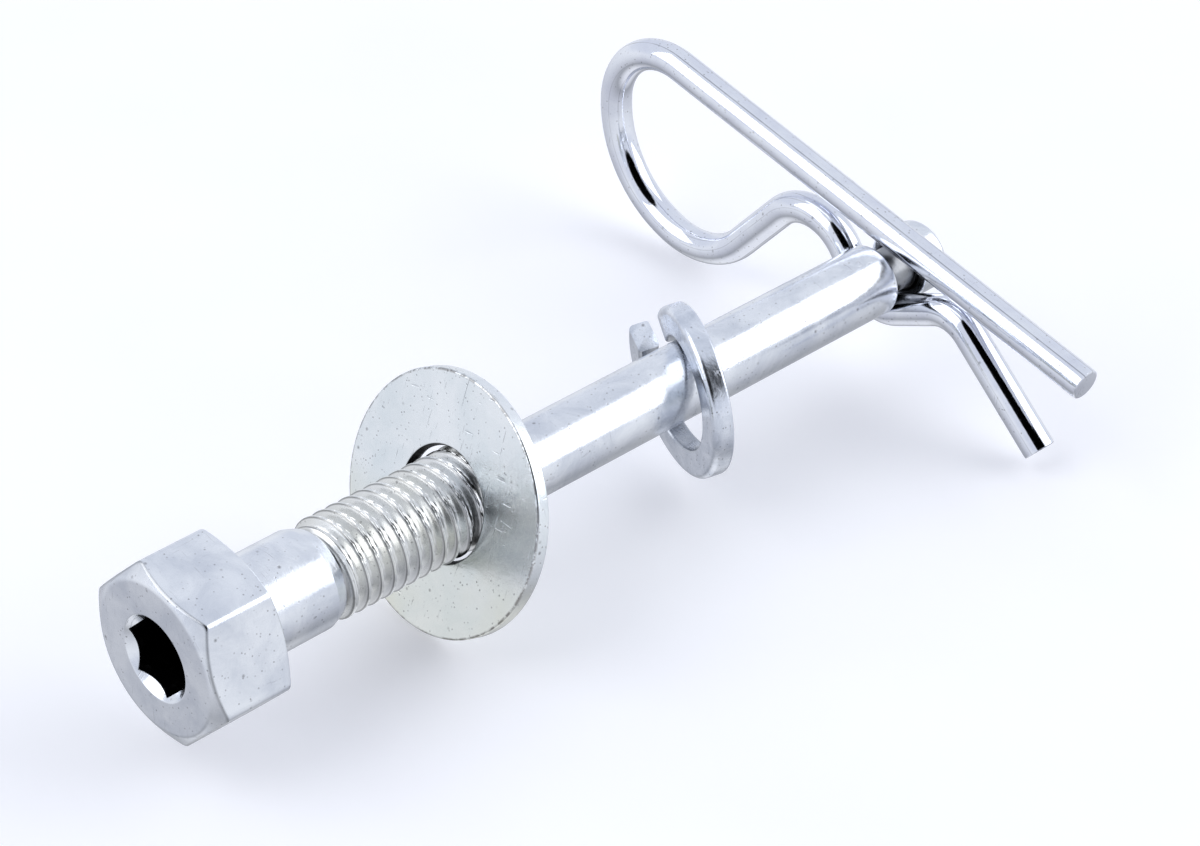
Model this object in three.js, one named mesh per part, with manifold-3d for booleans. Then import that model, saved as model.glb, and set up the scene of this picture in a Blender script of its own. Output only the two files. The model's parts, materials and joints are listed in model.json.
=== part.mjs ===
// Threaded hitch pin with a flat washer, a split lock washer and a hairpin clip.
//
// Units are millimetres, +Z is up. The pin lies level along +X with its head at the -X end.
// Each piece is drawn about its own local X axis and then placed on the pin's axis.
import * as THREE from 'three';
import { mergeVertices } from 'three/addons/utils/BufferGeometryUtils.js';
import Module from 'manifold-3d';

const wasm = await Module();
wasm.setup();

// ---- driving dimensions: hitch pin (positions are measured from the head's front face) ----
const HEAD_ACROSS_FLATS = 20.5;
const HEAD_HEIGHT = 11.0;
const HEAD_EDGE_ROUND = 0.9;
const HEAD_ROLL_DEG = 11.8;
const FRONT_FACE_RADIUS = 9.65;
const FRONT_CHAMFER_DEG = 30;
const BEARING_FACE_RADIUS = 9.7;
const BACK_CHAMFER_DEG = 22;
const SOCKET_ACROSS_FLATS = 8.9;
const SOCKET_DEPTH = 8.0;
const COUNTERSINK_RADIUS = 5.45;
const THREAD_DIAMETER = 12.7;
const SHANK_RADIUS = THREAD_DIAMETER / 2;
const SHANK_END = 21.6;
const RELIEF_START = 23.4;
const RELIEF_RADIUS = 5.75;
const THREAD_PITCH = 25.4 / 13;
const THREAD_CREST_RADIUS = 6.28;
const THREAD_ROOT_RADIUS = 5.24;
const THREAD_START = 24.4;
const THREAD_END = 48.6;
const THREAD_FADE_TURNS = 0.5;
const CORE_END = 49.4;
const SHAFT_RADIUS = 9.525 / 2;
const SHAFT_END = 118.1;
const NECK_RADIUS = 3.0;
const NECK_END = 123.1;
const PIN_LENGTH = 127.4;
const SHOULDER_ROUND = 0.6;

// ---- driving dimensions: washers ----
const FLAT_WASHER_OUTER = 32.6;
const FLAT_WASHER_BORE = 14.4;
const FLAT_WASHER_THICKNESS = 1.9;
const FLAT_WASHER_AT = new THREE.Vector3(43.8, 0, 0.15);
const FLAT_WASHER_LEAN_DEG = 17.0;
const FLAT_WASHER_YAW_DEG = -2.4;
const LOCK_WASHER_OUTER = 22.05;
const LOCK_WASHER_BORE = 14.25;
const LOCK_WASHER_THICKNESS = 2.8;
const LOCK_WASHER_RISE = 3.6;
const LOCK_WASHER_GAP_DEG = 2;
const LOCK_WASHER_GAP_TAPER_DEG = 8;
const LOCK_WASHER_TAPER_STEPS = 3;
const LOCK_WASHER_SPLIT_DEG = -63.5;
const LOCK_WASHER_AT = new THREE.Vector3(83.5, -0.45, -1.85);
const LOCK_WASHER_LEAN_DEG = -7.9;
const LOCK_WASHER_YAW_DEG = -20.7;

// ---- driving dimensions: hairpin clip, drawn in its own plane about the pin's axis ----
const WIRE_DIAMETER = 4.3;
const STRAIGHT_LEG_OFFSET = 6.2;
const CLIP_ROLL_DEG = 10.0;
const CLIP_AT = (SHAFT_END + NECK_END) / 2;
// Wire route as corner points (along the straight leg, across it) with the bend radius at each.
const CLIP_ROUTE = [
  { corner: [-33.3, STRAIGHT_LEG_OFFSET], bend: 0 },
  { corner: [53.0, STRAIGHT_LEG_OFFSET], bend: 10.0 },
  { corner: [47.5, -17.2], bend: 16.0 },
  { corner: [27.6, -19.8], bend: 12.5 },
  { corner: [14.2, 4.6], bend: 7.6 },
  { corner: [0.1, -6.75], bend: 5.45 },
  { corner: [-11.8, 2.4], bend: 5.6 },
  { corner: [-30.2, -7.8], bend: 0 },
];

// ---- smoothness ----
const PIN_SEGMENTS = 28;
const WASHER_SEGMENTS = 48;
const LOCK_WASHER_STEPS = 40;
const WIRE_SIDES = 12;
const WIRE_STEPS = 110;

// ---- placement of the pin's axis: the bounding box stands on Z = 0, centred on X and Y ----
const AXIS_START = -PIN_LENGTH / 2;
const AXIS_SIDE = -9.16;
const AXIS_HEIGHT = 15.62;

const degrees = THREE.MathUtils.degToRad;

// ---- helpers ----

function outwardTriangles(positions, index) {
  // Drops collapsed triangles and turns the shell the right way out.
  const kept = [];
  for (let i = 0; i < index.length; i += 3) {
    const [a, b, c] = [index[i], index[i + 1], index[i + 2]];
    if (a !== b && b !== c && c !== a) kept.push(a, b, c);
  }
  const corner = (i) => new THREE.Vector3().fromArray(positions, 3 * i);
  let volume = 0;
  for (let i = 0; i < kept.length; i += 3) {
    volume += corner(kept[i]).dot(corner(kept[i + 1]).cross(corner(kept[i + 2])));
  }
  if (volume > 0) return kept;
  for (let i = 0; i < kept.length; i += 3) {
    [kept[i], kept[i + 1]] = [kept[i + 1], kept[i]];
  }
  return kept;
}

function closedGeometry(source) {
  const bare = source.clone();
  bare.deleteAttribute('normal');
  bare.deleteAttribute('uv');
  const merged = mergeVertices(bare, 1e-4);
  merged.setIndex(outwardTriangles(merged.attributes.position.array, merged.index.array));
  return merged;
}

function toSolid(source) {
  const closed = closedGeometry(source);
  const vertProperties = new Float32Array(closed.attributes.position.array);
  const triVerts = new Uint32Array(closed.index.array);
  return new wasm.Manifold(new wasm.Mesh({ numProp: 3, vertProperties, triVerts }));
}

function toGeometry(solid) {
  const mesh = solid.getMesh();
  const geometry = new THREE.BufferGeometry();
  geometry.setAttribute('position', new THREE.BufferAttribute(mesh.vertProperties, 3));
  geometry.setIndex(new THREE.BufferAttribute(mesh.triVerts, 1));
  geometry.computeVertexNormals();
  return geometry;
}

function turned(profile, segments) {
  // Revolves [along X, radius] points about the X axis.
  const points = profile.map(([along, radius]) => new THREE.Vector2(radius, along));
  return new THREE.LatheGeometry(points, segments).rotateZ(-Math.PI / 2);
}

function hexagonShape(acrossFlats, edgeRound) {
  const radius = acrossFlats / 2 / Math.cos(Math.PI / 6);
  const corners = [];
  for (let i = 0; i < 6; i += 1) {
    const angle = (i * Math.PI) / 3;
    corners.push(new THREE.Vector2(radius * Math.cos(angle), radius * Math.sin(angle)));
  }
  const shape = new THREE.Shape();
  corners.forEach((corner, i) => {
    const before = corners[(i + 5) % 6];
    const after = corners[(i + 1) % 6];
    const share = edgeRound / before.distanceTo(corner);
    const start = corner.clone().lerp(before, share);
    const end = corner.clone().lerp(after, share);
    if (i === 0) shape.moveTo(start.x, start.y);
    else shape.lineTo(start.x, start.y);
    if (edgeRound > 0) shape.quadraticCurveTo(corner.x, corner.y, end.x, end.y);
  });
  shape.closePath();
  return shape;
}

function hexagonPrism(acrossFlats, edgeRound, from, to) {
  // A hexagonal bar along X, with one corner turned by the head's roll from +Y towards +Z.
  const options = { depth: to - from, bevelEnabled: false, curveSegments: 3 };
  const prism = new THREE.ExtrudeGeometry(hexagonShape(acrossFlats, edgeRound), options);
  prism.rotateY(Math.PI / 2);
  prism.rotateX(Math.PI / 2 + degrees(HEAD_ROLL_DEG));
  return prism.translate(from, 0, 0);
}

function bendAlongHelix(bar, axialAt, startAngle) {
  // Wraps a straight bar about X: its x is along the axis, y is the radius, z is the angle.
  const position = bar.attributes.position;
  for (let i = 0; i < position.count; i += 1) {
    const angle = position.getZ(i);
    const radius = position.getY(i);
    const along = position.getX(i) + axialAt(angle);
    const turn = startAngle + angle;
    position.setXYZ(i, along, radius * Math.cos(turn), radius * Math.sin(turn));
  }
  return bar;
}

function steelMaterial(color, roughness) {
  return new THREE.MeshStandardMaterial({ color, roughness, metalness: 1.0 });
}

// ---- hitch pin: hexagon head, shank, thread, plain shaft, neck and end button in one piece ----

function headSolid() {
  const coneRadius = HEAD_ACROSS_FLATS * 0.62;
  const frontRise = (coneRadius - FRONT_FACE_RADIUS) * Math.tan(degrees(FRONT_CHAMFER_DEG));
  const backRise = (coneRadius - BEARING_FACE_RADIUS) * Math.tan(degrees(BACK_CHAMFER_DEG));
  const chamfered = toSolid(turned([
    [0, 0],
    [0, FRONT_FACE_RADIUS],
    [frontRise, coneRadius],
    [HEAD_HEIGHT - backRise, coneRadius],
    [HEAD_HEIGHT, BEARING_FACE_RADIUS],
    [HEAD_HEIGHT, 0],
  ], 48));
  const hexagon = toSolid(hexagonPrism(HEAD_ACROSS_FLATS, HEAD_EDGE_ROUND, -1, HEAD_HEIGHT + 1));
  const socket = toSolid(hexagonPrism(SOCKET_ACROSS_FLATS, 0, -1, SOCKET_DEPTH));
  const countersink = toSolid(turned([
    [-1, 0],
    [-1, COUNTERSINK_RADIUS + 1],
    [COUNTERSINK_RADIUS - 1, 1],
    [COUNTERSINK_RADIUS - 1, 0],
  ], 48));
  return hexagon.intersect(chamfered).subtract(socket).subtract(countersink);
}

function shaftSolid() {
  const inHead = HEAD_HEIGHT - 1;
  const round = SHOULDER_ROUND;
  return toSolid(turned([
    [inHead, 0],
    [inHead, SHANK_RADIUS],
    [SHANK_END, SHANK_RADIUS],
    [RELIEF_START, RELIEF_RADIUS],
    [RELIEF_START + 0.2, THREAD_ROOT_RADIUS],
    [CORE_END, THREAD_ROOT_RADIUS],
    [CORE_END + 0.5, SHAFT_RADIUS],
    [SHAFT_END - round, SHAFT_RADIUS],
    [SHAFT_END - 0.3 * round, SHAFT_RADIUS - 0.3 * round],
    [SHAFT_END, SHAFT_RADIUS - round],
    [SHAFT_END, NECK_RADIUS],
    [NECK_END, NECK_RADIUS],
    [NECK_END, SHAFT_RADIUS - 0.5 * round],
    [NECK_END + 0.5 * round, SHAFT_RADIUS],
    [PIN_LENGTH - round, SHAFT_RADIUS],
    [PIN_LENGTH - 0.3 * round, SHAFT_RADIUS - 0.3 * round],
    [PIN_LENGTH, SHAFT_RADIUS - round],
    [PIN_LENGTH, 0],
  ], PIN_SEGMENTS));
}

function threadSolid() {
  // One right-hand ridge of 60 degree section; both ends sink into the core.
  const turns = (THREAD_END - THREAD_START) / THREAD_PITCH;
  const totalAngle = 2 * Math.PI * turns;
  const fadeAngle = 2 * Math.PI * THREAD_FADE_TURNS;
  const buriedRadius = THREAD_ROOT_RADIUS - 0.12;
  const depth = THREAD_CREST_RADIUS - buriedRadius;
  const buriedHalf = THREAD_PITCH / 2 - 0.02;
  const crestHalf = buriedHalf - depth * Math.tan(degrees(30));
  const section = new THREE.Shape([
    new THREE.Vector2(-buriedHalf, buriedRadius),
    new THREE.Vector2(buriedHalf, buriedRadius),
    new THREE.Vector2(crestHalf, THREAD_CREST_RADIUS),
    new THREE.Vector2(-crestHalf, THREAD_CREST_RADIUS),
  ]);
  const steps = Math.round(turns * PIN_SEGMENTS);
  const bar = new THREE.ExtrudeGeometry(section, { depth: totalAngle, steps, bevelEnabled: false });
  const position = bar.attributes.position;
  for (let i = 0; i < position.count; i += 1) {
    const angle = position.getZ(i);
    const nearEnd = Math.min(angle, totalAngle - angle);
    const sink = Math.max(0, 1 - nearEnd / fadeAngle) * depth;
    position.setY(i, position.getY(i) - sink);
  }
  const advance = (angle) => THREAD_START + (THREAD_PITCH * angle) / (2 * Math.PI);
  return toSolid(bendAlongHelix(bar, advance, 0));
}

function hitchPin() {
  const solid = headSolid().add(shaftSolid()).add(threadSolid());
  const mesh = new THREE.Mesh(toGeometry(solid), steelMaterial(0xc3c9d2, 0.28));
  mesh.name = 'hitch_pin';
  return mesh;
}

// ---- flat washer: a stamped ring standing on its rim, leaning on the thread ----

function flatWasher() {
  const half = FLAT_WASHER_THICKNESS / 2;
  const outer = FLAT_WASHER_OUTER / 2;
  const bore = FLAT_WASHER_BORE / 2;
  const edge = 0.35;
  const geometry = closedGeometry(turned([
    [-half, bore],
    [-half, outer - edge],
    [-half + edge, outer],
    [half - edge, outer],
    [half, outer - edge],
    [half, bore],
    [-half, bore],
  ], WASHER_SEGMENTS));
  const mesh = new THREE.Mesh(geometry, steelMaterial(0xb6c2c4, 0.4));
  mesh.name = 'flat_washer';
  mesh.position.copy(FLAT_WASHER_AT);
  mesh.rotation.set(0, degrees(FLAT_WASHER_LEAN_DEG), degrees(FLAT_WASHER_YAW_DEG), 'ZYX');
  return mesh;
}

// ---- split lock washer: one left-hand turn of square wire hanging on the shaft ----

function lockWasher() {
  const half = LOCK_WASHER_THICKNESS / 2;
  const inner = LOCK_WASHER_BORE / 2;
  const outer = LOCK_WASHER_OUTER / 2;
  const chamfer = 0.5;
  const section = new THREE.Shape([
    new THREE.Vector2(-half + chamfer, inner),
    new THREE.Vector2(half - chamfer, inner),
    new THREE.Vector2(half, inner + chamfer),
    new THREE.Vector2(half, outer - chamfer),
    new THREE.Vector2(half - chamfer, outer),
    new THREE.Vector2(-half + chamfer, outer),
    new THREE.Vector2(-half, outer - chamfer),
    new THREE.Vector2(-half, inner + chamfer),
  ]);
  const sweep = degrees(360 - LOCK_WASHER_GAP_DEG);
  const options = { depth: sweep, steps: LOCK_WASHER_STEPS, bevelEnabled: false };
  const bar = new THREE.ExtrudeGeometry(section, options);
  const taperLength = (LOCK_WASHER_TAPER_STEPS * sweep) / LOCK_WASHER_STEPS;
  const position = bar.attributes.position;
  for (let i = 0; i < position.count; i += 1) {
    // The gap is a narrow V, open at the rim: one cut end leans back from the radius.
    const angle = position.getZ(i);
    const share = (position.getY(i) - inner) / (outer - inner);
    const lean = degrees(LOCK_WASHER_GAP_TAPER_DEG) * share * Math.max(0, 1 - angle / taperLength);
    position.setZ(i, angle + lean);
  }
  const advance = (angle) => LOCK_WASHER_RISE * (0.5 - angle / sweep);
  const startAngle = degrees(90 + LOCK_WASHER_SPLIT_DEG + LOCK_WASHER_GAP_DEG / 2);
  const geometry = closedGeometry(bendAlongHelix(bar, advance, startAngle));
  const mesh = new THREE.Mesh(geometry, steelMaterial(0xa9b2c2, 0.35));
  mesh.name = 'lock_washer';
  mesh.position.copy(LOCK_WASHER_AT);
  mesh.rotation.set(0, degrees(LOCK_WASHER_LEAN_DEG), degrees(LOCK_WASHER_YAW_DEG), 'ZYX');
  return mesh;
}

// ---- hairpin clip: one bent wire that straddles the neck ----

function bentWirePath(route) {
  const path = new THREE.Path();
  path.moveTo(...route[0].corner);
  for (let i = 1; i < route.length; i += 1) {
    const corner = new THREE.Vector2(...route[i].corner);
    const { bend } = route[i];
    if (bend > 0) {
      const back = new THREE.Vector2(...route[i - 1].corner).sub(corner).normalize();
      const ahead = new THREE.Vector2(...route[i + 1].corner).sub(corner).normalize();
      const halfAngle = Math.acos(back.dot(ahead)) / 2;
      const start = corner.clone().addScaledVector(back, bend / Math.tan(halfAngle));
      const middle = back.clone().add(ahead).normalize();
      const centre = corner.clone().addScaledVector(middle, bend / Math.sin(halfAngle));
      const end = corner.clone().addScaledVector(ahead, bend / Math.tan(halfAngle));
      const startAngle = Math.atan2(start.y - centre.y, start.x - centre.x);
      const endAngle = Math.atan2(end.y - centre.y, end.x - centre.x);
      const clockwise = back.cross(ahead) > 0;
      if (path.currentPoint.distanceTo(start) > 1e-6) path.lineTo(start.x, start.y);
      path.absarc(centre.x, centre.y, bend, startAngle, endAngle, clockwise);
    } else {
      path.lineTo(corner.x, corner.y);
    }
  }
  return path;
}

class WireCentreline extends THREE.Curve {
  constructor(path) {
    super();
    this.path = path;
    this.arcLengthDivisions = 2000;
  }

  getPoint(t, target = new THREE.Vector3()) {
    const point = this.path.getPoint(t);
    return target.set(0, point.x, point.y);
  }
}

function hairpinClip() {
  const section = new THREE.Shape().absarc(0, 0, WIRE_DIAMETER / 2, 0, 2 * Math.PI);
  const wire = new THREE.ExtrudeGeometry(section, {
    steps: WIRE_STEPS,
    curveSegments: WIRE_SIDES / 2,
    extrudePath: new WireCentreline(bentWirePath(CLIP_ROUTE)),
  });
  const mesh = new THREE.Mesh(closedGeometry(wire), steelMaterial(0xb4bcc9, 0.15));
  mesh.name = 'hairpin_clip';
  mesh.position.x = CLIP_AT;
  mesh.rotation.x = degrees(CLIP_ROLL_DEG);
  return mesh;
}

// ---- assembly ----

const assembly = new THREE.Group();
assembly.add(hitchPin(), flatWasher(), lockWasher(), hairpinClip());
assembly.position.set(AXIS_START, AXIS_SIDE, AXIS_HEIGHT);

export default assembly;
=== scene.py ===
import json
import math

import bpy
import numpy as np
from mathutils import Matrix, Vector


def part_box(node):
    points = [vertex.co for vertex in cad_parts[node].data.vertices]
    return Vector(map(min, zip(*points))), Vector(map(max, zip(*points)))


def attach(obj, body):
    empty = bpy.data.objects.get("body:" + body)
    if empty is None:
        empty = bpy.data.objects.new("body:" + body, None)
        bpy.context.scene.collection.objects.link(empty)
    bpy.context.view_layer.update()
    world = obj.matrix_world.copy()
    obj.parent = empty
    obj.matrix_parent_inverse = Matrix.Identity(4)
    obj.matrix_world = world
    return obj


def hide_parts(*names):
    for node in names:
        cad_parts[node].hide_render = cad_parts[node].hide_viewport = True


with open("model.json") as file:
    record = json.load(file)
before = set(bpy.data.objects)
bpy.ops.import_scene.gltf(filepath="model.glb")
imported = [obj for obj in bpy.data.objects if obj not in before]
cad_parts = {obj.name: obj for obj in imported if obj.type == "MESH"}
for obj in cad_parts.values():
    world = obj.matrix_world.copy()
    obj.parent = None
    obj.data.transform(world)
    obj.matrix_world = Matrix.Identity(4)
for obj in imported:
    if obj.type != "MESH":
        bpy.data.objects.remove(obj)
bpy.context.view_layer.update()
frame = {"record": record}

# ---------------------------------------------------------------- frame
MM = 0.001
record = frame["record"]
mounts = {m["name"]: m for m in record["mounts"]}
joints = {j["name"]: j for j in record["behaviour"]["joints"]}

tip = Vector(mounts["tip_face"]["pos_m"])
HEAD_FACE_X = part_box("hitch_pin")[0].x
AXIS_Y, AXIS_Z = tip.y, tip.z
washer_centre = Vector(joints["flat_washer_slide"]["pos_m"])
lock_centre = Vector(joints["lock_washer_slide"]["pos_m"])
clip_centre = Vector(joints["clip_spin"]["pos_m"])

# ---------------------------------------------------------------- dimensions (mm)
PIN_LENGTH = (tip.x - HEAD_FACE_X) / MM
HEAD_HALF_FLATS = 10.25
HEAD_HEIGHT = 11.0
HEAD_ROLL = math.radians(11.8)
HEAD_EDGE_BLEND = 0.7
FRONT_FACE_R = 9.65
FRONT_CHAMFER = math.radians(30)
BACK_FACE_R = 9.7
BACK_CHAMFER = math.radians(22)
SOCKET_HALF_FLATS = 4.45
SOCKET_DEPTH = 8.0
COUNTERSINK_R = 5.45
SHANK_R = 6.35
SHANK_END = 21.6
RELIEF_X = 23.4
RELIEF_R = 5.72
THREAD_PITCH = 25.4 / 13
THREAD_ROOT_R = 5.22
THREAD_CREST_R = 6.28
THREAD_FROM = 23.5
THREAD_TO = 49.3
SHAFT_R = 4.7625
SHAFT_FROM = 49.9
SHAFT_END = 118.1
NECK_R = 3.0
NECK_END = 123.1

FLAT_OUTER, FLAT_BORE, FLAT_THICK = 16.3, 7.2, 1.9
FLAT_LEAN, FLAT_YAW = math.radians(17.0), math.radians(-2.4)
LOCK_OUTER, LOCK_BORE, LOCK_THICK = 11.02, 7.12, 2.8
LOCK_RISE = 3.6
LOCK_GAP = math.radians(2)
LOCK_GAP_TAPER = math.radians(8)
LOCK_SPLIT = math.radians(-63.5)
LOCK_LEAN, LOCK_YAW = math.radians(-7.9), math.radians(-20.7)

WIRE_R = 2.15
CLIP_ROLL = math.radians(10.0)
LEG = 6.2
CLIP_ROUTE = [
    ((-33.3, LEG), 0.0),
    ((53.0, LEG), 10.0),
    ((47.5, -17.2), 16.0),
    ((27.6, -19.8), 12.5),
    ((14.2, 4.6), 7.6),
    ((0.1, -6.75), 5.45),
    ((-11.8, 2.4), 5.6),
    ((-30.2, -7.8), 0.0),
]

# ---------------------------------------------------------------- mesh fineness
THREAD_ROWS_PER_PITCH = 24
STEPS_PER_HEX_SIDE = 32
FLAT_WASHER_STEPS = 240
LOCK_WASHER_STATIONS = 200
WIRE_SIDES = 40
WIRE_END_STEPS = 4

# ---------------------------------------------------------------- fine shape (mm)
SOCKET_EDGE_BLEND = 0.12
FLAT_BORE_WAIST = 0.32
FLAT_WAVE_TWO, FLAT_WAVE_FIVE = 0.03, 0.015
LOCK_TAPER_SWEEP = 0.45
WIRE_END_ROUND = 0.35
THREAD_GROWTH, THREAD_RUN_OUT = 1.1, 1.6
CREST_HALF, ROOT_START = 0.085, 0.40
SEAM_DEPTH, SEAM_HALF = 0.09, 0.035


# ---------------------------------------------------------------- mesh helpers
SHARP_ANGLE = math.radians(34)


def paint(obj, layers):
    """Stores per-vertex weights that the materials read as named attributes."""
    for name, values in layers.items():
        layer = obj.data.attributes.new(name, "FLOAT", "POINT")
        layer.data.foreach_set("value", np.asarray(values, dtype=np.float32))


def finish_mesh(name, verts, faces, smooth=True):
    mesh = bpy.data.meshes.new(name)
    mesh.from_pydata([tuple(v) for v in verts], [], faces)
    mesh.validate()
    mesh.update()
    mesh.polygons.foreach_set("use_smooth", [smooth] * len(mesh.polygons))
    mesh.set_sharp_from_angle(angle=SHARP_ANGLE)
    obj = bpy.data.objects.new(name, mesh)
    bpy.context.scene.collection.objects.link(obj)
    return obj


def loft(name, rings, closed_loop=False, capped=True):
    """A skin over equal rings of points; ends get a centre point, or the last ring joins the first."""
    rings = np.asarray(rings, float)
    count, around, _ = rings.shape
    verts = list(rings.reshape(-1, 3))
    faces = []
    span = count if closed_loop else count - 1
    for i in range(span):
        a, b = i * around, ((i + 1) % count) * around
        for j in range(around):
            k = (j + 1) % around
            faces.append((a + j, b + j, b + k, a + k))
    if capped and not closed_loop:
        for i, flip in ((0, False), (count - 1, True)):
            centre = len(verts)
            verts.append(rings[i].mean(0))
            base = i * around
            for j in range(around):
                k = (j + 1) % around
                face = (centre, base + j, base + k)
                faces.append(face[::-1] if flip else face)
    return finish_mesh(name, verts, faces)


def fillet(points, radii, steps=4, hold=0.12):
    """Rounds the corners of a polyline of (along, radius) points; flats keep holding points."""
    points = [np.array(p, float) for p in points]
    out = [points[0]]
    for i in range(1, len(points) - 1):
        p, r = points[i], radii[i]
        a, b = points[i - 1] - p, points[i + 1] - p
        la, lb = np.linalg.norm(a), np.linalg.norm(b)
        a, b = a / la, b / lb
        if r <= 0:
            out.append(p)
            continue
        half = math.acos(np.clip(a @ b, -1, 1)) / 2
        back = min(r / math.tan(half), 0.45 * la, 0.45 * lb)
        r = back * math.tan(half)
        bis = a + b
        bis /= np.linalg.norm(bis)
        centre = p + bis * r / math.sin(half)
        start, end = p + a * back, p + b * back
        out.append(start + a * min(hold, 0.3 * la))
        va, vb = start - centre, end - centre
        total = math.acos(np.clip(va @ vb / (r * r), -1, 1))
        for k in range(steps + 1):
            t = k / steps
            if total < 1e-6:
                out.append(start * (1 - t) + end * t)
            else:
                w0 = math.sin((1 - t) * total) / math.sin(total)
                w1 = math.sin(t * total) / math.sin(total)
                out.append(centre + va * w0 + vb * w1)
        out.append(end + b * min(hold, 0.3 * lb))
    out.append(points[-1])
    return np.array(out)


def place(obj, centre, lean, yaw):
    turn = Matrix.Rotation(yaw, 4, "Z") @ Matrix.Rotation(lean, 4, "Y")
    obj.data.transform(Matrix.Translation(centre) @ turn @ Matrix.Scale(MM, 4))


# ---------------------------------------------------------------- the pin
def hexagon_radius(angle, half_flats, blend):
    """Distance from the axis to a hexagon with softly rounded corners; a corner lies at angle 0."""
    a = (angle + math.pi / 6) % (math.pi / 3) - math.pi / 6
    one = half_flats / math.cos(math.pi / 6 - a)
    other = half_flats / math.cos(math.pi / 6 + a)
    h = max(blend - abs(one - other), 0.0)
    return min(one, other) - h * h / (4 * blend) if blend > 0 else min(one, other)


def thread_phase(x, angle):
    """Distance from the nearest crest line in pitches, from 0 at the crest to 0.5 at the root."""
    u = (x - THREAD_FROM) / THREAD_PITCH - angle / (2 * math.pi)
    return abs((u + 0.5) % 1.0 - 0.5)


def ease(t):
    t = min(max(t, 0.0), 1.0)
    return t * t * (3 - 2 * t)


def thread_envelope(x):
    """The thread grows out of the relief and sinks into the shaft."""
    return ease((x - THREAD_FROM) / THREAD_GROWTH) * ease((THREAD_TO - x) / THREAD_RUN_OUT)


def thread_height(x, angle):
    """Height of the rolled thread over its root, from 0 to 1."""
    d = thread_phase(x, angle)
    flank = min(max((ROOT_START - d) / (ROOT_START - CREST_HALF), 0.0), 1.0)
    bowl = 0.5 - 0.5 * math.cos(math.pi * flank)
    seam = SEAM_DEPTH * max(0.0, 1 - d / SEAM_HALF)
    return (0.45 * bowl + 0.55 * flank - seam) * thread_envelope(x)


def pin_column(angle):
    """The pin's outline along one direction from its axis, as (along, radius) points."""
    hex_r = hexagon_radius(angle, HEAD_HALF_FLATS, HEAD_EDGE_BLEND)
    sock_r = hexagon_radius(angle, SOCKET_HALF_FLATS, SOCKET_EDGE_BLEND)
    front = (hex_r - FRONT_FACE_R) * math.tan(FRONT_CHAMFER)
    back = HEAD_HEIGHT - (hex_r - BACK_FACE_R) * math.tan(BACK_CHAMFER)
    head = fillet(
        [
            (SOCKET_DEPTH, 0.02), (SOCKET_DEPTH, sock_r), (COUNTERSINK_R - sock_r, sock_r),
            (0, COUNTERSINK_R), (0, FRONT_FACE_R), (front, hex_r), (back, hex_r),
            (HEAD_HEIGHT, BACK_FACE_R), (HEAD_HEIGHT, SHANK_R), (SHANK_END, SHANK_R),
            (RELIEF_X, RELIEF_R), (THREAD_FROM - 0.05, THREAD_ROOT_R + 0.05),
        ],
        [0, 0.3, 0.12, 0.2, 0.9, 0.45, 0.45, 0.4, 0.5, 0.25, 0.3, 0],
    )
    rows = int(round((THREAD_TO - THREAD_FROM) / THREAD_PITCH * THREAD_ROWS_PER_PITCH))
    xs = np.linspace(THREAD_FROM, THREAD_TO, rows)
    thread = np.array([
        (x, THREAD_ROOT_R + (THREAD_CREST_R - THREAD_ROOT_R) * thread_height(x, angle)) for x in xs
    ])
    tail = fillet(
        [
            (THREAD_TO + 0.1, THREAD_ROOT_R), (SHAFT_FROM, SHAFT_R), (SHAFT_END, SHAFT_R),
            (SHAFT_END, NECK_R), (NECK_END, NECK_R), (NECK_END, SHAFT_R),
            (PIN_LENGTH, SHAFT_R), (PIN_LENGTH, 0.02),
        ],
        [0, 0.3, 0.6, 0.35, 0.35, 0.3, 0.6, 0],
    )
    return np.vstack([head, thread, tail])


def pin_weights(columns, angles, turn):
    """Painted shade in the socket, along the front chamfer edge, at the thread relief and in the neck, and
    where the pin carries the rolled thread, for every point of its skin.
    """
    count, around = columns.shape[1], columns.shape[0]
    shade = np.zeros((count, around))
    thread = np.zeros((count, around))
    crest = np.full((count, around), 0.5)
    for j in range(around):
        socket_edge = COUNTERSINK_R - hexagon_radius(angles[j], SOCKET_HALF_FLATS, SOCKET_EDGE_BLEND)
        corner_r = hexagon_radius(angles[j], HEAD_HALF_FLATS, HEAD_EDGE_BLEND)
        chamfer_x = (corner_r - FRONT_FACE_R) * math.tan(FRONT_CHAMFER)
        # painted shade on the thread relief is heavier on the pin's lower side
        low_side = 0.35 + 0.65 * ease(0.5 - 0.8 * math.sin(turn[j]))
        inside = True
        for i in range(count):
            x, r = columns[j, i]
            if x < 0.02:
                inside = False
            if inside:
                # painted shade deepening into the hexagon socket
                shade[i, j] = ease((x - socket_edge + 0.05) / 0.25)
            elif x < HEAD_HEIGHT / 2 and r > FRONT_FACE_R:
                # a painted dark line (painted shade) along the front chamfer's edge
                shade[i, j] = 0.5 * ease(1 - abs(x - chamfer_x) / 0.25)
            elif RELIEF_X - 0.3 < x < THREAD_TO + 0.5:
                crest[i, j] = thread_phase(x, angles[j])
                # painted shade along the thread relief
                shade[i, j] = 0.9 * low_side * ease(1 - abs(x - RELIEF_X - 0.3) / 0.45)
                thread[i, j] = ease((x - RELIEF_X) / 0.5) * ease((THREAD_TO + 0.4 - x) / 0.6)
            elif SHAFT_END - 0.02 < x < NECK_END + 0.02 and r < SHAFT_R - 0.45:
                # painted shade on the shoulder, neck and button faces
                shade[i, j] = 0.94 if r > NECK_R + 0.1 or x > NECK_END - 0.4 else 0.6
    return shade, thread, crest


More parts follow.
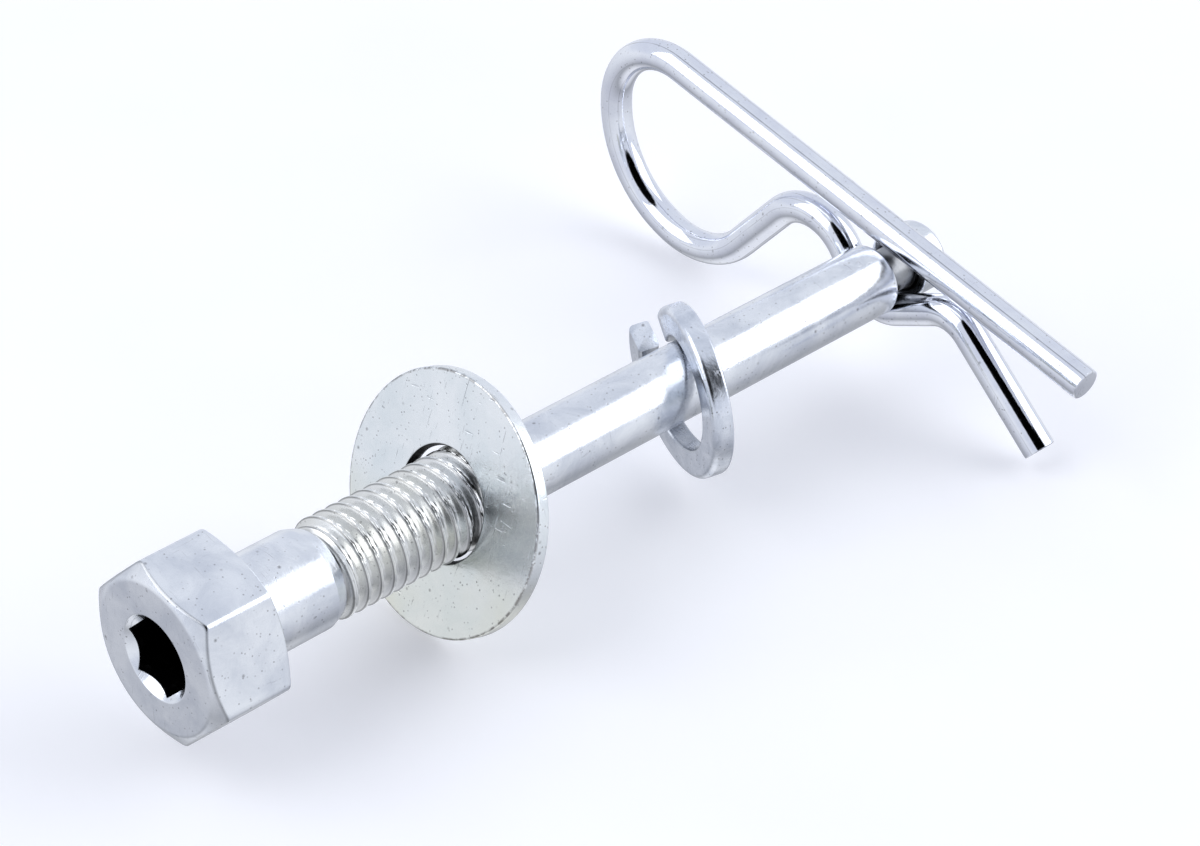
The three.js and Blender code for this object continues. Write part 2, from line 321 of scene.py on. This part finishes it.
def build_pin():
    angles = []
    for sector in range(6):
        for u in np.linspace(-1, 1, STEPS_PER_HEX_SIDE, endpoint=False):
            angles.append(sector * math.pi / 3 + math.copysign(abs(u) ** 1.5, u) * math.pi / 6)
    columns = np.array([pin_column(a) for a in angles])
    turn = np.array(angles) + HEAD_ROLL
    rings = np.empty((columns.shape[1], len(angles), 3))
    for j, a in enumerate(turn):
        rings[:, j, 0] = columns[j, :, 0]
        rings[:, j, 1] = columns[j, :, 1] * math.cos(a)
        rings[:, j, 2] = columns[j, :, 1] * math.sin(a)
    obj = loft("hitch_pin_body", rings)
    shade, thread, crest = pin_weights(columns, angles, turn)
    paint(obj, {
        # painted shade, full at the socket floor's centre point
        "shade": np.append(shade.ravel(), [1.0, 0.0]),
        "thread": np.append(thread.ravel(), [0.0, 0.0]),
        "crest": np.append(crest.ravel(), [0.5, 0.5]),
    })
    obj.data.transform(
        Matrix.Translation((HEAD_FACE_X, AXIS_Y, AXIS_Z)) @ Matrix.Scale(MM, 4)
    )
    return obj


# ---------------------------------------------------------------- washers
def build_flat_washer():
    half = FLAT_THICK / 2
    outline = [
        (0, FLAT_BORE - FLAT_BORE_WAIST), (-half, FLAT_BORE), (-half, FLAT_OUTER), (half, FLAT_OUTER),
        (half, FLAT_BORE),
    ]
    n = FLAT_WASHER_STEPS
    corners = [0.3, 0.12, 0.28, 0.3, 0.4]
    loop = [outline[-1]] + outline + [outline[0]]
    section = fillet(loop, [0] + corners + [0], steps=5)[1:-1]
    rings = []
    for a in np.linspace(0, 2 * math.pi, n, endpoint=False):
        wave = FLAT_WAVE_TWO * math.sin(2 * a + 0.6) + FLAT_WAVE_FIVE * math.sin(5 * a)
        rings.append([(x + wave * 0.6, r * math.cos(a), r * math.sin(a)) for x, r in section])
    obj = loft("flat_washer_ring", rings, closed_loop=True)
    along, radius = np.tile(section[:, 0], n), np.tile(section[:, 1], n)
    around = np.repeat(np.linspace(0, 2 * math.pi, n, endpoint=False), len(section))
    front = along < -half + 0.2
    # painted shade on the bore wall
    bore = np.clip((FLAT_BORE + 0.1 - radius) / 0.08, 0, 1) * 0.97
    rim = np.clip(1 - np.abs(radius - FLAT_OUTER + 0.16) / 0.2, 0, 1) * front
    low = np.clip((-radius * np.sin(around) - 1) / 7, 0, 1)
    paint(obj, {"shade": bore, "edge": rim, "warm": low})
    place(obj, washer_centre, FLAT_LEAN, FLAT_YAW)
    return obj


def build_lock_washer():
    half = LOCK_THICK / 2
    outline = [
        (-half, LOCK_BORE), (-half, LOCK_OUTER), (half, LOCK_OUTER), (half, LOCK_BORE),
    ]
    loop = [outline[-1]] + outline + [outline[0]]
    section = fillet(loop, [0, 0.45, 0.75, 0.4, 0.5, 0], steps=6)[1:-1]
    sweep = 2 * math.pi - LOCK_GAP
    rings = []
    stations = np.linspace(0, sweep, LOCK_WASHER_STATIONS)
    for s in stations:
        shift = LOCK_RISE * (0.5 - s / sweep)
        ring = []
        for x, r in section:
            share = (r - LOCK_BORE) / (LOCK_OUTER - LOCK_BORE)
            lean = LOCK_GAP_TAPER * share * max(0.0, 1 - s / LOCK_TAPER_SWEEP)
            a = math.pi / 2 + LOCK_SPLIT + LOCK_GAP / 2 + s + lean
            ring.append((x + shift, r * math.cos(a), r * math.sin(a)))
        rings.append(ring)
    obj = loft("lock_washer_coil", rings)
    radius = np.tile(section[:, 1], len(stations))
    # painted shade on and near the bore wall
    bore = np.clip((LOCK_BORE + 0.5 - radius) / 0.3, 0, 1) * 0.35
    paint(obj, {"shade": np.append(bore, [0.0, 0.0])})
    place(obj, lock_centre, LOCK_LEAN, LOCK_YAW)
    return obj


# ---------------------------------------------------------------- the clip
def route_points(route, step=0.6):
    """Centreline of the bent wire: straight runs joined by arcs of each corner's bend radius."""
    out = [np.array(route[0][0], float)]
    for i in range(1, len(route) - 1):
        p, bend = np.array(route[i][0], float), route[i][1]
        a = np.array(route[i - 1][0], float) - p
        b = np.array(route[i + 1][0], float) - p
        a, b = a / np.linalg.norm(a), b / np.linalg.norm(b)
        half = math.acos(np.clip(a @ b, -1, 1)) / 2
        back = bend / math.tan(half)
        bis = (a + b) / np.linalg.norm(a + b)
        centre = p + bis * bend / math.sin(half)
        start, end = p + a * back, p + b * back
        gap = np.linalg.norm(start - out[-1])
        if gap > 1e-6:
            n = max(2, int(gap / step))
            for k in range(1, n + 1):
                out.append(out[-1] + (start - out[-1]) / (n - k + 1))
        va, vb = start - centre, end - centre
        total = math.acos(np.clip(va @ vb / bend ** 2, -1, 1))
        n = max(3, int(total * bend / step))
        for k in range(1, n + 1):
            t = k / n
            arm = va * math.sin((1 - t) * total) + vb * math.sin(t * total)
            out.append(centre + arm / math.sin(total))
    last = np.array(route[-1][0], float)
    gap = np.linalg.norm(last - out[-1])
    n = max(2, int(gap / step))
    first = out[-1]
    for k in range(1, n + 1):
        out.append(first + (last - first) * k / n)
    return np.array(out)


def build_clip():
    pts = route_points(CLIP_ROUTE)
    tang = np.gradient(pts, axis=0)
    tang /= np.linalg.norm(tang, axis=1)[:, None]
    sides = WIRE_SIDES

    def ring(centre, tangent, radius):
        normal = np.array([-tangent[1], tangent[0]])
        out = []
        for k in range(sides):
            a = 2 * math.pi * k / sides
            flat = centre + normal * radius * math.cos(a)
            out.append((radius * math.sin(a), flat[0], flat[1]))
        return out

    def rounded_end(point, tangent, inward):
        """Rings from the cut end inwards, growing to the wire's radius."""
        out = []
        for k in range(WIRE_END_STEPS):
            t = k / WIRE_END_STEPS * math.pi / 2
            shift = inward * WIRE_END_ROUND * (1 - math.cos(t)) * 0.6
            out.append(ring(point + tangent * shift, tangent, WIRE_R - WIRE_END_ROUND * (1 - math.sin(t))))
        return out

    rings = rounded_end(pts[0], tang[0], 1)
    rings += [ring(p, t, WIRE_R) for p, t in zip(pts[1:-1], tang[1:-1])]
    rings += rounded_end(pts[-1], tang[-1], -1)[::-1]
    obj = loft("hairpin_clip_wire", rings)
    points = [p for ring_points in rings for p in ring_points]
    # painted shade on the wire where it wraps close round the neck
    near_neck = [1 - ease((math.hypot(p[1], p[2]) - 3.7) / 1.2) for p in points]
    turn = np.tile(np.arange(sides) / sides, len(rings))
    paint(obj, {
        "shade": np.append(0.9 * np.array(near_neck), [0.0, 0.0]),
        "turn": np.append(turn, [0.5, 0.5]),
    })
    obj.data.transform(
        Matrix.Translation(clip_centre) @ Matrix.Rotation(CLIP_ROLL, 4, "X") @ Matrix.Scale(MM, 4)
    )
    return obj


# ---------------------------------------------------------------- materials
class Graph:
    """Small helper round a node tree."""

    def __init__(self, tree):
        self.tree = tree
        self.nodes = tree.nodes
        self.links = tree.links

    def link(self, a, b):
        self.links.new(a, b)

    def weight(self, name):
        node = self.nodes.new("ShaderNodeAttribute")
        node.attribute_name = name
        return node.outputs["Fac"]

    def math(self, op, a, b=None, clamp=False):
        node = self.nodes.new("ShaderNodeMath")
        node.operation = op
        node.use_clamp = clamp
        if op == "MULTIPLY_ADD":
            node.inputs[2].default_value = 0.5
        for i, v in enumerate((a, b)):
            if v is None:
                continue
            if isinstance(v, (int, float)):
                node.inputs[i].default_value = v
            else:
                self.link(v, node.inputs[i])
        return node.outputs[0]

    def noise(self, vector, scale, detail=4.0, rough=0.55, distortion=0.0):
        node = self.nodes.new("ShaderNodeTexNoise")
        node.inputs["Scale"].default_value = scale
        node.inputs["Detail"].default_value = detail
        node.inputs["Roughness"].default_value = rough
        node.inputs["Distortion"].default_value = distortion
        self.link(vector, node.inputs["Vector"])
        return node.outputs["Fac"]

    def ramp(self, fac, stops):
        node = self.nodes.new("ShaderNodeValToRGB")
        while len(node.color_ramp.elements) < len(stops):
            node.color_ramp.elements.new(0.5)
        for element, (pos, value) in zip(node.color_ramp.elements, stops):
            element.position = pos
            colour = (value, value, value) if isinstance(value, (int, float)) else value
            element.color = (*colour, 1)
        self.link(fac, node.inputs["Fac"])
        return node.outputs["Color"]

    def scaled(self, vector, scale, rotation=(0, 0, 0)):
        node = self.nodes.new("ShaderNodeMapping")
        node.inputs["Scale"].default_value = scale
        node.inputs["Rotation"].default_value = rotation
        self.link(vector, node.inputs["Vector"])
        return node.outputs["Vector"]

    def mix(self, fac, a, b, mode="MIX"):
        node = self.nodes.new("ShaderNodeMix")
        node.data_type = "RGBA"
        node.blend_type = mode
        for socket, value in ((node.inputs["Factor"], fac), (node.inputs[6], a), (node.inputs[7], b)):
            if isinstance(value, (int, float)):
                socket.default_value = value
            elif isinstance(value, tuple):
                socket.default_value = (*value, 1)
            else:
                self.link(value, socket)
        return node.outputs[2]


# near-black colour for painted shade, mixed in where the shade attribute is high
PAINTED_SHADE_COLOUR = (0.006, 0.006, 0.007)
PIT = (0.10, 0.09, 0.09)
SCRATCH = (0.22, 0.22, 0.25)


def zinc(name, light, dark, rough=(0.16, 0.3), grain=(900, 900, 900), grain_depth=0.02, blotch=0.03,
         pits=0.0, scratches=0.0, cloud_scale=160.0, warm=0.0, thread=False, edge=False,
         painted_wire_streaks=False):
    """Bright zinc plate: cloudy tone, fine grain, scratches, pits, and painted shade in sheltered places.

    thread adds painted shade lines along the thread, edge a broken dark line along a stamped rim, and the
    last flag painted reflection lines along the wire.
    """
    material = bpy.data.materials.new(name)
    material.use_nodes = True
    g = Graph(material.node_tree)
    shader = g.nodes["Principled BSDF"]
    shader.inputs["Metallic"].default_value = 1.0
    where = g.nodes.new("ShaderNodeTexCoord").outputs["Object"]

    cloud = g.noise(where, cloud_scale, 6, 0.62, 0.5)
    colour = g.ramp(cloud, [(0.34, dark), (0.62, light)])
    if thread:
        colour = g.mix(g.math("MULTIPLY", g.weight("thread"), 0.6), colour, (0.97, 0.97, 0.95))
    if warm > 0:
        least = 0.0 if thread else 0.45
        patch = g.ramp(g.noise(where, cloud_scale * 0.4, 3, 0.6), [(0.40, least), (0.60, 1.0)])
        amount = g.math("MULTIPLY", patch, warm)
        amount = g.math("MULTIPLY", amount, g.weight("thread" if thread else "warm"))
        colour = g.mix(amount, colour, (0.87, 0.85, 0.74) if thread else (0.82, 0.80, 0.62))

    fine = g.noise(g.scaled(where, grain), 1.0, 6, 0.65)
    rough_map = g.nodes.new("ShaderNodeMapRange")
    g.link(g.math("ADD", g.math("MULTIPLY", cloud, 0.55), g.math("MULTIPLY", fine, 0.45)),
           rough_map.inputs["Value"])
    rough_map.inputs["From Min"].default_value = 0.3
    rough_map.inputs["From Max"].default_value = 0.7
    rough_map.inputs["To Min"].default_value = rough[0]
    rough_map.inputs["To Max"].default_value = rough[1]
    roughness = rough_map.outputs["Result"]
    if thread:
        roughness = g.math("ADD", roughness, g.math("MULTIPLY", g.weight("thread"), 0.06))

    swell = g.noise(where, cloud_scale * 3.5, 4, 0.6, 0.6)
    height = g.math("ADD", fine, g.math("MULTIPLY", swell, blotch / grain_depth))
    if scratches > 0:
        for turn, stretch in (((0.3, 0.9, 0.2), (260, 4200, 260)), ((1.1, 0.2, 0.8), (4000, 220, 260))):
            line = g.noise(g.scaled(where, stretch, turn), 1.0, 2, 0.5)
            cut = g.ramp(line, [(0.0, 0.0), (0.68, 0.0), (0.73, 1.0), (1.0, 1.0)])
            mask = g.ramp(g.noise(where, 90, 2, 0.5), [(0.45, 0.0), (0.6, 1.0)])
            cut = g.math("MULTIPLY", cut, mask)
            height = g.math("SUBTRACT", height, g.math("MULTIPLY", cut, scratches))
            roughness = g.math("ADD", roughness, g.math("MULTIPLY", cut, 0.15), True)
            colour = g.mix(g.math("MULTIPLY", cut, 0.35), colour, SCRATCH)
    if pits > 0:
        for scale, few_from, size in ((520, 0.50, 0.15), (1500, 0.44, 0.22)):
            spots = g.nodes.new("ShaderNodeTexVoronoi")
            spots.inputs["Scale"].default_value = scale
            g.link(where, spots.inputs["Vector"])
            hole = g.ramp(spots.outputs["Distance"], [(0.0, 1.0), (size, 0.0), (1.0, 0.0)])
            few = g.ramp(g.noise(where, scale * 0.5, 2, 0.5), [(few_from, 0.0), (few_from + 0.1, 1.0)])
            hole = g.math("MULTIPLY", hole, few)
            height = g.math("SUBTRACT", height, g.math("MULTIPLY", hole, pits))
            colour = g.mix(g.math("MULTIPLY", hole, 0.8), colour, PIT)
    if thread:
        # painted shade: dark lines at each crest and on the flanks beside it
        painted_thread_shade = g.ramp(g.weight("crest"), [
            (0.0, 0.35), (0.03, 0.0), (0.075, 0.0), (0.10, 0.9), (0.13, 0.9), (0.17, 0.15), (0.5, 0.05),
        ])
        painted_thread_shade = g.math("MULTIPLY", g.math("MULTIPLY", painted_thread_shade, g.weight("thread")), 0.72)
        colour = g.mix(painted_thread_shade, colour, (0.03, 0.03, 0.03))
    # painted reflection: broken dark lines at fixed turns round the wire
    if painted_wire_streaks:
        painted_wire_reflection = g.ramp(g.weight("turn"), [
            (0.0, 0.0), (0.045, 0.0), (0.052, 0.5), (0.059, 0.0), (0.60, 0.0), (0.606, 0.4), (0.612, 0.0),
            (0.70, 0.0), (0.706, 0.3), (0.712, 0.0), (0.925, 0.0), (0.933, 0.75), (0.941, 0.0), (1.0, 0.0),
        ])
        broken = g.ramp(g.noise(where, 130, 3, 0.6), [(0.36, 0.3), (0.5, 1.0)])
        colour = g.mix(g.math("MULTIPLY", painted_wire_reflection, broken), colour, (0.10, 0.10, 0.13))
    if edge:
        # a broken brownish dark line along the front rim
        rim_line = g.ramp(g.noise(where, 900, 4, 0.7), [(0.44, 0.15), (0.54, 1.0)])
        rim_line = g.math("MULTIPLY", rim_line, g.weight("edge"))
        colour = g.mix(g.math("MULTIPLY", rim_line, 0.85), colour, (0.09, 0.07, 0.06))
    # painted shade: the shade attribute pulls the colour towards near-black and roughens it
    shade = g.math("MULTIPLY", g.weight("shade"), g.math("ADD", g.math("MULTIPLY", swell, 0.5), 0.8), True)
    colour = g.mix(shade, colour, PAINTED_SHADE_COLOUR)
    roughness = g.math("ADD", roughness, g.math("MULTIPLY", shade, 0.2), True)

    bump = g.nodes.new("ShaderNodeBump")
    bump.inputs["Strength"].default_value = 1.0
    bump.inputs["Distance"].default_value = grain_depth * MM
    g.link(height, bump.inputs["Height"])
    g.link(bump.outputs["Normal"], shader.inputs["Normal"])
    g.link(colour, shader.inputs["Base Color"])
    g.link(roughness, shader.inputs["Roughness"])
    return material


# ---------------------------------------------------------------- assemble
pin = build_pin()
flat = build_flat_washer()
lock = build_lock_washer()
clip = build_clip()

pin.data.materials.append(zinc(
    "pin_bright_zinc", (0.93, 0.95, 0.98), (0.72, 0.75, 0.81), rough=(0.13, 0.25),
    grain=(2600, 500, 500), grain_depth=0.012, blotch=0.012, pits=1.2, scratches=0.8, warm=0.35,
    thread=True))
flat.data.materials.append(zinc(
    "flat_washer_zinc", (0.95, 0.97, 0.98), (0.82, 0.87, 0.89), rough=(0.15, 0.31),
    grain=(900, 900, 900), grain_depth=0.02, blotch=0.03, pits=1.6, scratches=1.6, cloud_scale=120,
    warm=0.8, edge=True))
lock.data.materials.append(zinc(
    "lock_washer_zinc", (0.88, 0.91, 0.97), (0.62, 0.66, 0.74), rough=(0.15, 0.27),
    grain=(2200, 700, 700), grain_depth=0.02, blotch=0.03, pits=0.8, scratches=1.0, cloud_scale=260))
clip.data.materials.append(zinc(
    "clip_bright_zinc", (0.90, 0.92, 0.97), (0.80, 0.82, 0.90), rough=(0.06, 0.12),
    grain=(3000, 120, 3000), grain_depth=0.006, blotch=0.0015, pits=0.3, scratches=0.3, painted_wire_streaks=True))

for obj, body, node, slot in (
    (pin, "pin", "hitch_pin", "pin_zinc"),
    (flat, "flat_washer", "flat_washer", "flat_washer_zinc"),
    (lock, "lock_washer", "lock_washer", "lock_washer_zinc"),
    (clip, "clip", "hairpin_clip", "clip_zinc"),
):
    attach(obj, body)
    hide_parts(node)


# ---------------------------------------------------------------- floor
FLOOR_HALF_SIZE = 3.0
FLOOR_DROP = 0.2 * MM


def build_floor():
    size = FLOOR_HALF_SIZE
    obj = finish_mesh(
        "floor",
        [(-size, -size, 0), (size, -size, 0), (size, size, 0), (-size, size, 0)],
        [(0, 1, 2, 3)], smooth=False)
    obj.location.z = -FLOOR_DROP
    material = bpy.data.materials.new("floor_paper")
    material.use_nodes = True
    g = Graph(material.node_tree)
    shader = g.nodes["Principled BSDF"]
    shader.inputs["Roughness"].default_value = 0.9
    shader.inputs["Specular IOR Level"].default_value = 0.2
    where = g.nodes.new("ShaderNodeTexCoord").outputs["Object"]
    tone = g.ramp(g.noise(where, 18, 3, 0.5), [(0.35, (0.90, 0.90, 0.93)), (0.65, (0.93, 0.93, 0.95))])
    g.link(tone, shader.inputs["Base Color"])
    shader.inputs["Emission Color"].default_value = (0.93, 0.93, 1.0, 1)
    shader.inputs["Emission Strength"].default_value = 0.17
    obj.data.materials.append(material)
    obj.visible_glossy = False


build_floor()


# ---------------------------------------------------------------- light
def area(name, location, target, size, power, colour=(1, 1, 1)):
    data = bpy.data.lights.new(name, "AREA")
    data.shape = "RECTANGLE"
    data.size, data.size_y = size
    data.energy = power
    data.color = colour
    obj = bpy.data.objects.new(name, data)
    obj.location = location
    aim = Vector(target) - Vector(location)
    obj.rotation_euler = aim.to_track_quat("-Z", "Y").to_euler()
    bpy.context.scene.collection.objects.link(obj)
    return obj


def direction(azimuth, elevation):
    a, e = math.radians(azimuth), math.radians(elevation)
    return Vector((math.cos(a) * math.cos(e), math.sin(a) * math.cos(e), math.sin(e)))


SOFTBOX_RANGE = 0.9
SOFTBOX_POWER = 2.6
area("softbox_right", direction(-38, 33) * SOFTBOX_RANGE, (0, 0, 0), (0.75, 0.72), SOFTBOX_POWER)
area("softbox_left", direction(150, 38) * SOFTBOX_RANGE, (0, 0, 0), (0.75, 0.85), SOFTBOX_POWER)

world = bpy.data.worlds.new("studio")
bpy.context.scene.world = world
world.use_nodes = True
w = Graph(world.node_tree)
w.nodes.clear()
out = w.nodes.new("ShaderNodeOutputWorld")
back = w.nodes.new("ShaderNodeBackground")
w.link(back.outputs[0], out.inputs[0])
ray = w.nodes.new("ShaderNodeTexCoord").outputs["Generated"]


def lobe(azimuth, elevation, inner, outer):
    """1 inside a round patch of the sky, falling softly to 0 at its rim; angles in degrees."""
    node = w.nodes.new("ShaderNodeVectorMath")
    node.operation = "DOT_PRODUCT"
    w.link(ray, node.inputs[0])
    node.inputs[1].default_value = direction(azimuth, elevation)
    edge = w.nodes.new("ShaderNodeMapRange")
    edge.interpolation_type = "SMOOTHSTEP"
    w.link(node.outputs["Value"], edge.inputs["Value"])
    edge.inputs["From Min"].default_value = math.cos(math.radians(outer))
    edge.inputs["From Max"].default_value = math.cos(math.radians(inner))
    return edge.outputs["Result"]


height = w.nodes.new("ShaderNodeSeparateXYZ")
w.link(ray, height.inputs[0])


def level_of(elevation):
    """Where an elevation in degrees lies on the sky ramp, from 0 straight down to 1 straight up."""
    return 0.5 + 0.5 * math.sin(math.radians(elevation))


sky = w.ramp(w.math("MULTIPLY_ADD", height.outputs["Z"], 0.5), [
    (level_of(-75), (0.85, 0.87, 0.92)), (level_of(-54), (0.38, 0.395, 0.43)),
    (level_of(-36), (0.58, 0.60, 0.66)), (level_of(-18), (0.74, 0.77, 0.83)),
    (level_of(-3), (0.82, 0.85, 0.91)), (level_of(10), (0.72, 0.76, 0.85)),
    (level_of(75), (0.74, 0.78, 0.86)),
])
sky = w.mix(lobe(-126, 44, 28, 32), sky, (0.0, 0.0, 0.0))
w.link(sky, back.inputs["Color"])
back.inputs["Strength"].default_value = 1.0

# ---------------------------------------------------------------- camera
SENSOR_WIDTH = 36.0
FOCAL_LENGTH = 112.2
cam_data = bpy.data.cameras.new("camera")
cam_data.sensor_width = SENSOR_WIDTH
cam_data.lens = FOCAL_LENGTH
cam = bpy.data.objects.new("camera", cam_data)
bpy.context.scene.collection.objects.link(cam)
bpy.context.scene.camera = cam
LOOK_AT = Vector((HEAD_FACE_X, AXIS_Y, AXIS_Z)) + Vector((69.2, 0.24, -0.26)) * MM
CAMERA_DISTANCE = 456.4 * MM
CAMERA_AZIMUTH, CAMERA_ELEVATION, CAMERA_ROLL = 45.984, 35.96, 3.367
ahead = Vector((
    math.sin(math.radians(CAMERA_AZIMUTH)) * math.cos(math.radians(CAMERA_ELEVATION)),
    math.cos(math.radians(CAMERA_AZIMUTH)) * math.cos(math.radians(CAMERA_ELEVATION)),
    -math.sin(math.radians(CAMERA_ELEVATION)),
))
cam.location = LOOK_AT - ahead * CAMERA_DISTANCE
level = ahead.cross(Vector((0, 0, 1))).normalized()
upright = level.cross(ahead)
roll = math.radians(CAMERA_ROLL)
right = level * math.cos(roll) + upright * math.sin(roll)
up = right.cross(ahead)
cam.rotation_mode = "QUATERNION"
cam.rotation_quaternion = Matrix((right, up, -ahead)).transposed().to_quaternion()
cam_data.clip_start, cam_data.clip_end = 0.01, 20.0

# ---------------------------------------------------------------- colour
scene = bpy.context.scene
scene.view_settings.view_transform = "Standard"
scene.view_settings.look = "None"
scene.view_settings.exposure = 0.0
